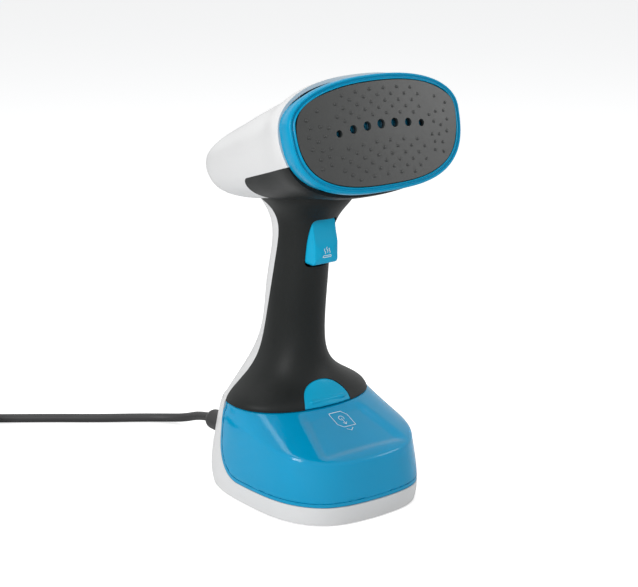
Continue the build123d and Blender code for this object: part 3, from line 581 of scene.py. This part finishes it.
# %% [markdown]
# ## Pips on the steam plate
# Small round pips stand on the plate. They hold the cloth off the metal so that steam spreads under
# it. They lie in rows above and below the steam holes, and in a fan at each end. A bump pattern in
# the material would be lost from the side, so they are real domes. Their places are worked out in
# the plate's own flat directions and dropped on its bowed face, and Geometry Nodes puts one small
# dome on each.

# %% Places of the pips
def face_tree(piece):
    """A quick way to find where a ray meets a piece."""
    form = bmesh.new()
    form.from_mesh(piece.data)
    found = BVHTree.FromBMesh(form)
    form.free()
    return found


plate_tree = face_tree(copies["steam_plate"])
hole_row_height = 5.4
hole_pitch = 10.9
hole_drop = 2.7
pip_rows = 8
first_above = 6.3
first_below = 10.6
first_beside = 9.0
step_above = 3.95
step_below = 4.1
step_beside = 5.9
row_end = 4
fan_start = 62
fan_step = 24
fan_out = 1.5
fan_drop = 3.2
pip_edge_gap = 4.2
pip_spacing = 5.0


def inside_plate(x, up, margin):
    """Whether a spot lies inside the plate's outline, by a margin."""
    reach, power = plate_half(up > plate_middle, -margin)
    across = abs(x / (plate_half_width - margin)) ** power
    return across + abs((up - plate_middle) / reach) ** power < 1

# %% Rows and fans
spots = []
half_row = 3 * hole_pitch
for row in range(pip_rows):
    rise = first_above + step_above * row
    fall = first_below + step_below * row
    side = first_beside + step_beside * row
    shift = 0.5 * ((row + 1) % 2)
    for index in range(-4, 5):
        x = (index + shift) * hole_pitch
        if abs(x) <= half_row + row_end:
            drop = hole_drop * (x / half_row) ** 2
            spots.append((x, hole_row_height - drop + rise))
            spots.append((x, hole_row_height - drop - fall))
    for end in (-1, 1):
        for index in range(6):
            angle = math.radians(fan_start - (index + shift) * fan_step)
            reach = rise if angle > 0 else fall
            x = end * (half_row + fan_out + side * math.cos(angle))
            spots.append((x, hole_row_height - fan_drop + reach * math.sin(angle)))
spots = [(x, up) for x, up in spots if inside_plate(x, up, pip_edge_gap)]
kept = []
for spot in spots:
    if all((spot[0] - other[0]) ** 2 + (spot[1] - other[1]) ** 2 > pip_spacing ** 2 for other in kept):
        kept.append(spot)
inward = head_place.to_3x3() @ Vector((0, 1, 0))
cast_back = 30 * mm
pip_places = []
for x, up in kept:
    start = head_place @ Vector((x * mm, -cast_back, up * mm))
    place = plate_tree.ray_cast(start, inward)[0]
    if place is not None:
        pip_places.append(place)
print("pips", len(pip_places))

# %% Geometry Nodes for the pips
def pip_nodes():
    """A tree that puts a low dome on each point, turned to the plate's own direction."""
    tree = bpy.data.node_groups.new("pips_on_plate", "GeometryNodeTree")
    face = tree.interface
    face.new_socket("Geometry", in_out="INPUT", socket_type="NodeSocketGeometry")
    face.new_socket("Pip radius", in_out="INPUT", socket_type="NodeSocketFloat")
    face.new_socket("Pip height", in_out="INPUT", socket_type="NodeSocketFloat")
    face.new_socket("Tilt", in_out="INPUT", socket_type="NodeSocketFloat")
    face.new_socket("Geometry", in_out="OUTPUT", socket_type="NodeSocketGeometry")
    start = tree.nodes.new("NodeGroupInput")
    end = tree.nodes.new("NodeGroupOutput")
    dome = tree.nodes.new("GeometryNodeMeshUVSphere")
    dome.inputs["Segments"].default_value = 14
    dome.inputs["Rings"].default_value = 8
    tree.links.new(start.outputs["Pip radius"], dome.inputs["Radius"])
    flat = tree.nodes.new("GeometryNodeTransform")
    squash = tree.nodes.new("ShaderNodeCombineXYZ")
    squash.inputs["X"].default_value = 1.0
    squash.inputs["Y"].default_value = 1.0
    tree.links.new(start.outputs["Pip height"], squash.inputs["Z"])
    tree.links.new(dome.outputs["Mesh"], flat.inputs["Geometry"])
    tree.links.new(squash.outputs[0], flat.inputs["Scale"])
    put = tree.nodes.new("GeometryNodeInstanceOnPoints")
    tree.links.new(start.outputs["Geometry"], put.inputs["Points"])
    tree.links.new(flat.outputs["Geometry"], put.inputs["Instance"])
    turn = tree.nodes.new("ShaderNodeCombineXYZ")
    tree.links.new(start.outputs["Tilt"], turn.inputs["X"])
    tree.links.new(turn.outputs[0], put.inputs["Rotation"])
    real = tree.nodes.new("GeometryNodeRealizeInstances")
    smooth = tree.nodes.new("GeometryNodeSetShadeSmooth")
    finish = tree.nodes.new("GeometryNodeSetMaterial")
    finish.inputs["Material"].default_value = plate_coat
    tree.links.new(put.outputs["Instances"], real.inputs["Geometry"])
    tree.links.new(real.outputs["Geometry"], smooth.inputs["Geometry"])
    tree.links.new(smooth.outputs["Geometry"], finish.inputs["Geometry"])
    tree.links.new(finish.outputs["Geometry"], end.inputs["Geometry"])
    return tree

# %% Running the tree
def made_by(name, points, tree, values, body):
    """Runs a tree on a cloud of points and keeps its result as a plain mesh piece."""
    cloud = bpy.data.meshes.new(name + "_points")
    cloud.from_pydata(points, [], [])
    holder = bpy.data.objects.new(name + "_holder", cloud)
    bpy.context.scene.collection.objects.link(holder)
    modifier = holder.modifiers.new("nodes", "NODES")
    modifier.node_group = tree
    for item in tree.interface.items_tree:
        if item.in_out == "INPUT" and item.name in values:
            modifier[item.identifier] = values[item.name]
    bpy.context.view_layer.update()
    mesh = bpy.data.meshes.new_from_object(holder.evaluated_get(bpy.context.evaluated_depsgraph_get()))
    mesh.name = name
    holder.modifiers.remove(modifier)
    bpy.data.objects.remove(holder)
    piece = bpy.data.objects.new(name, mesh)
    bpy.context.scene.collection.objects.link(piece)
    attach(piece, body)
    return piece


pip_sizes = {"Pip radius": 1.1 * mm, "Pip height": 0.62, "Tilt": math.pi / 2 + head_tilt}
pips = made_by("plate_pips", pip_places, pip_nodes(), pip_sizes, "housing")
print("pip faces", len(pips.data.polygons))

# %% [markdown]
# ## Signs
# Two small signs tell the user what to press: rising steam on the trigger, and on the tank a tank
# with an arrow, for sliding it off. An image would need a picture file, so each sign is a few flat
# strokes, dropped on the surface under it and lifted a few hundredths of a millimetre.

# %% Strokes laid on a surface
stroke_step = 0.35
print_height = 0.06 * mm


def laid_strokes(name, strokes, width, to_space, cast_from, cast_way, tree, body):
    """Flat strokes through 2-D points, dropped on a surface."""
    verts = []
    faces = []
    for stroke in strokes:
        fine = []
        for (ax, ay), (bx, by) in zip(stroke, stroke[1:]):
            count = max(1, int(math.hypot(bx - ax, by - ay) / stroke_step))
            fine += [(ax + (bx - ax) * i / count, ay + (by - ay) * i / count) for i in range(count)]
        fine.append(stroke[-1])
        first = len(verts)
        for index, (x, y) in enumerate(fine):
            before = fine[max(0, index - 1)]
            after = fine[min(len(fine) - 1, index + 1)]
            run = Vector((after[0] - before[0], after[1] - before[1])).normalized()
            side = Vector((-run.y, run.x)) * width / 2
            for sign in (-1, 1):
                start = to_space(x + sign * side.x, y + sign * side.y) + cast_from
                place = tree.ray_cast(start, cast_way)[0] or start
                verts.append(place - cast_way * print_height)
        for index in range(len(fine) - 1):
            a = first + 2 * index
            faces.append((a, a + 2, a + 3, a + 1))
    piece = link_piece(name, verts, faces, sign_white, body)
    form = bmesh.new()
    form.from_mesh(piece.data)
    turned = [f for f in form.faces if f.normal.dot(cast_way) > 0]
    bmesh.ops.reverse_faces(form, faces=turned)
    form.to_mesh(piece.data)
    form.free()
    return piece

# %% The two signs
def wave(x, low, high):
    """A rising wavy stroke."""
    swing, count = 0.45, 12
    return [(x + swing * math.sin(2 * math.pi * t / count), low + (high - low) * t / count)
            for t in range(count + 1)]


def arc(x, y, radius, start, end):
    """A stroke round part of a circle, angles in degrees."""
    count = 20
    angles = [math.radians(start + (end - start) * t / count) for t in range(count + 1)]
    return [(x + radius * math.cos(a), y + radius * math.sin(a)) for a in angles]


steam_sign_height = 168.5
tank_sign_x = 2.4
tank_sign_y = -32.5
above_tank = 90
before_trigger = 60 * mm


def on_trigger(x, y):
    """A place in the trigger's middle plane, at its lower half."""
    return Vector((x, 0, steam_sign_height + y)) * mm


def over_tank(x, y):
    """A place above the tank's dish."""
    return Vector((x + tank_sign_x, tank_sign_y + y, above_tank)) * mm


steam_strokes = [wave(-1.9, -0.6, 2.9), wave(0.0, 0.0, 3.8), wave(1.9, -0.6, 2.9),
                 [(-3.0, -1.8), (3.0, -1.8)], [(-3.0, -1.8), (-3.4, -3.0)],
                 [(3.0, -1.8), (3.4, -3.0)], [(-3.4, -3.0), (3.4, -3.0)]]
steam_sign = laid_strokes("steam_sign", steam_strokes, 0.42, on_trigger, Vector((0, -before_trigger, 0)),
                          Vector((0, 1, 0)), face_tree(copies["trigger"]), "trigger")
tank_strokes = [[(-6.4, 6.6), (3.4, 6.6), (6.4, 3.4), (6.4, -6.4), (-3.4, -6.4), (-6.4, -3.2), (-6.4, 6.6)],
                arc(0, 1.2, 1.9, -40, 250), [(0, 1.2), (0, -4.2)],
                [(-1.5, -2.6), (0, -4.4), (1.5, -2.6)], [(-2.6, -8.2), (0, -10.2), (2.6, -8.2)]]
tank_sign = laid_strokes("tank_sign", tank_strokes, 0.36, over_tank, Vector((0, 0, 0)),
                         Vector((0, 0, -1)), face_tree(copies["tank_shell"]), "tank")
print("signs", len(steam_sign.data.polygons), len(tank_sign.data.polygons))
